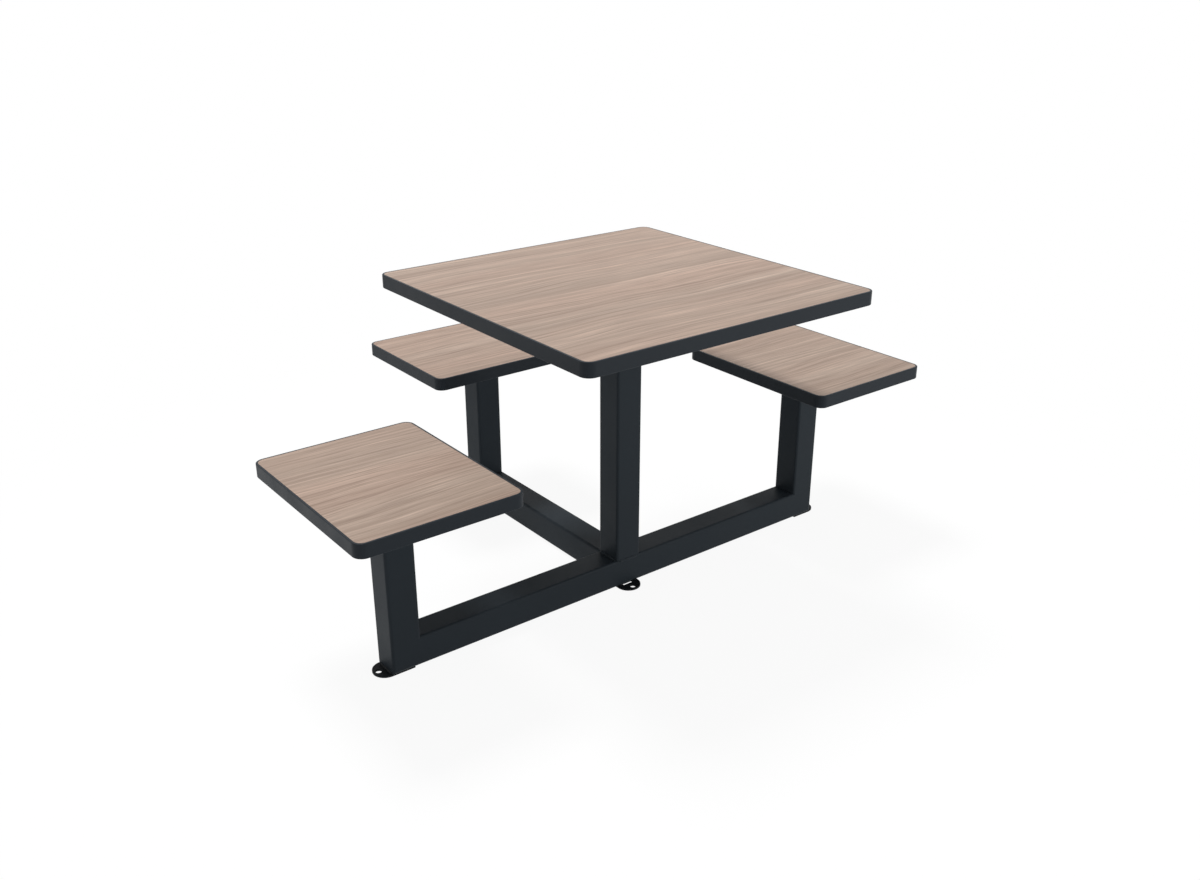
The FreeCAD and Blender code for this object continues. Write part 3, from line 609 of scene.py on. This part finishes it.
def weldUnderPlate():
    bm = bmesh.new()
    face = tube["half"]
    beadEnd = gusset["leg"] - gusset["shortBy"]
    for quarter in range(4):
        first = len(bm.verts)
        for side in (-1, 1):
            cheek = side * gusset["half"]
            clear = side * (gusset["half"] + bead["leg"])
            addFillet(bm, (face, clear, plateFoot), (face, side * flat, plateFoot), (1, 0, 0), (0, 0, -1))
            top = (face, cheek, plateFoot - gusset["notch"])
            bottom = (face, cheek, plateFoot - beadEnd)
            addFillet(bm, top, bottom, (1, 0, 0), (0, side, 0))
            inner = (face + gusset["notch"], cheek, plateFoot)
            outer = (face + beadEnd, cheek, plateFoot)
            addFillet(bm, inner, outer, (0, side, 0), (0, 0, -1))
        turned(bm, first, 90 * quarter)
    finishBeads(bm, "weld_under_mount_plate", powderCoat)


weldPostFoot()
weldRearArm()
weldFeet()
weldUnderPlate()
print("weld beads laid")


# Return springs, each wound from one wire, in place of the packed ones, which are hidden
spring = {
    "coil": 0.0265,        # radius of its middle line
    "wire": 0.0015,        # radius
    "turns": 3,            # whole ones, between the legs
    "legSide": 0.0037,     # legs beside the pin and the lug
    "legReach": 0.046,     # leg's end, from the axis
    "bend": 0.003,         # radius between coil and leg
    "bendSteps": 8,
    "turnSteps": 48,
    "sides": 16,           # of the wire
    "cutLength": 0.0004,   # chamfer where the wire is cut
    "cutRadius": 0.75,     # share of the radius left there
}


def springPath(low, high):
    side = spring["legSide"] - spring["bend"]
    lead = math.asin(side / spring["coil"])
    bendAt = spring["coil"] * math.cos(lead) + spring["bend"]
    leg = [(spring["legReach"] - back, spring["legSide"]) for back in (0, spring["cutLength"])]
    for step in range(spring["bendSteps"]):
        angle = math.pi / 2 * step / spring["bendSteps"]
        leg.append((bendAt - spring["bend"] * math.sin(angle), side + spring["bend"] * math.cos(angle)))
    path = [Vector((x, -y, low)) for x, y in leg]
    total = 2 * (math.pi * spring["turns"] + lead)
    steps = spring["turns"] * spring["turnSteps"]
    for step in range(steps + 1):
        share = step / steps
        angle = total * share - lead
        x = spring["coil"] * math.cos(angle)
        y = spring["coil"] * math.sin(angle)
        path.append(Vector((x, y, low + (high - low) * share)))
    return path + [Vector((x, y, high)) for x, y in reversed(leg)]


def sweepWire(bm, path):
    angles = [2 * math.pi * corner / spring["sides"] for corner in range(spring["sides"])]
    last = len(path) - 1
    rings = []
    for index, point in enumerate(path):
        along = (path[min(index + 1, last)] - path[max(index - 1, 0)]).normalized()
        side = along.cross(Vector((0, 0, 1))).normalized()
        up = side.cross(along)
        radius = spring["wire"] * (spring["cutRadius"] if index in (0, last) else 1)
        spokes = [side * math.cos(angle) + up * math.sin(angle) for angle in angles]
        rings.append([bm.verts.new(point + spoke * radius) for spoke in spokes])
    skinRings(bm, rings, smooth=True)


def windSprings():
    for side, turn in sideTurns.items():
        packed = f"return_spring_{side}"
        axis = swivelAxes[f"seat_{side}"]
        (_, _, foot), (_, _, top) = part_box(packed)
        low = foot + spring["wire"]
        high = top - spring["wire"]
        bm = bmesh.new()
        sweepWire(bm, springPath(low, high))
        turned(bm, 0, turn, (*axis, 0))
        piece = newPiece(bm, f"wound_spring_{side}", metalLooks["spring_wire"])
        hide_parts(packed)
        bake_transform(piece)


windSprings()
print("return springs wound")


# Floor, lamps, world and camera
stage = {
    "size": 40.0,
    "drop": -0.0004,            # a hair below the foot plates
    "grey": 0.8,                # of the floor as it lights the table from below
    "shadowShare": 0.10,        # of the floor as it is seen: what a shadow can darken
    "glow": 0.93,               # and what it can't
    "shadowReach": (0.9, 1.9),  # between these distances, the shadow fades to white
    "ambient": 0.16,
}


def lightRays(tree):  # 1 for the rays that should find a white background
    path = tree.nodes.new("ShaderNodeLightPath")
    seen = calculate(tree, "MAXIMUM", path.outputs["Is Camera Ray"], path.outputs["Is Glossy Ray"])
    return calculate(tree, "MAXIMUM", seen, path.outputs["Is Transmission Ray"])


def greyDiffuse(tree, grey):
    node = tree.nodes.new("ShaderNodeBsdfDiffuse")
    node.inputs["Color"].default_value = (grey, grey, grey, 1.0)
    return node.outputs["BSDF"]


def whiteGlow(tree, strength):
    node = tree.nodes.new("ShaderNodeEmission")
    node.inputs["Strength"].default_value = strength
    return node.outputs["Emission"]


def mixShaders(tree, factor, first, second):
    node = tree.nodes.new("ShaderNodeMixShader")
    tree.links.new(factor, node.inputs["Fac"])
    tree.links.new(first, node.inputs[1])
    tree.links.new(second, node.inputs[2])
    return node.outputs["Shader"]


def makeFloorWhite():
    material = bpy.data.materials.new("floor_white")
    tree, output = emptyTree(material, "ShaderNodeOutputMaterial")
    near = tree.nodes.new("ShaderNodeAddShader")
    tree.links.new(greyDiffuse(tree, stage["shadowShare"]), near.inputs[0])
    tree.links.new(whiteGlow(tree, stage["glow"]), near.inputs[1])
    distance = vectorMath(tree, "LENGTH", pieceSpace(tree))
    fade = remap(tree, distance, *stage["shadowReach"], 0, 1)
    seen = mixShaders(tree, fade, near.outputs["Shader"], whiteGlow(tree, 1.0))
    shown = mixShaders(tree, lightRays(tree), greyDiffuse(tree, stage["grey"]), seen)
    tree.links.new(shown, output.inputs["Surface"])
    return material


def makeFloor():
    bm = bmesh.new()
    bmesh.ops.create_grid(bm, x_segments=1, y_segments=1, size=stage["size"] / 2)
    floor = newObject(bm, "floor", makeFloorWhite())
    floor.location.z = stage["drop"]


lamps = {
    "overhead": {"place": (-0.7, 3.2, 9.4), "aim": (0.0, 0.1, 0.6), "size": (2.6, 2.6), "power": 580.0},
    "leftSide": {"place": (-5.2, 1.2, 1.6), "aim": (0.0, 0.1, 0.4), "size": (2.8, 2.4), "power": 16.0},
    "rightFront": {"place": (2.0, -3.6, 0.9), "aim": (0.4, 0.0, 0.3), "size": (1.8, 1.2), "power": 46.0},
}


def makeLamp(name, look):
    data = bpy.data.lights.new(name, "AREA")
    data.shape = "RECTANGLE"
    data.size, data.size_y = look["size"]
    data.energy = look["power"]
    lamp = bpy.data.objects.new(name, data)
    bpy.context.scene.collection.objects.link(lamp)
    lamp.location = look["place"]
    lamp.rotation_euler = (Vector(look["aim"]) - Vector(look["place"])).to_track_quat("-Z", "Y").to_euler()


def makeWorld():
    world = bpy.data.worlds.new("studio")
    bpy.context.scene.world = world
    tree, output = emptyTree(world, "ShaderNodeOutputWorld")
    background = tree.nodes.new("ShaderNodeBackground")
    background.inputs["Color"].default_value = (1.0, 1.0, 1.0, 1.0)
    strength = remap(tree, lightRays(tree), 0, 1, stage["ambient"], 1.0)
    tree.links.new(strength, background.inputs["Strength"])
    tree.links.new(background.outputs["Background"], output.inputs["Surface"])


viewpoint = {
    "place": (-1.5648, -1.9505, 1.4377),
    "turn": 37.662,        # from looking along Y, towards X
    "tilt": -23.115,       # from level
    "lens": 35.0,          # millimetres, and so is the sensor
    "sensor": 36.0,
}


def makeCamera():
    data = bpy.data.cameras.new("camera")
    data.lens = viewpoint["lens"]
    data.sensor_width = viewpoint["sensor"]
    data.sensor_fit = "HORIZONTAL"
    camera = bpy.data.objects.new("camera", data)
    bpy.context.scene.collection.objects.link(camera)
    camera.location = viewpoint["place"]
    camera.rotation_euler = (math.radians(90 + viewpoint["tilt"]), 0, -math.radians(viewpoint["turn"]))
    bpy.context.scene.camera = camera


makeFloor()
for name, look in lamps.items():
    makeLamp(name, look)
makeWorld()
makeCamera()
bpy.context.scene.view_settings.view_transform = "Standard"
print("floor, lamps, world and camera set")
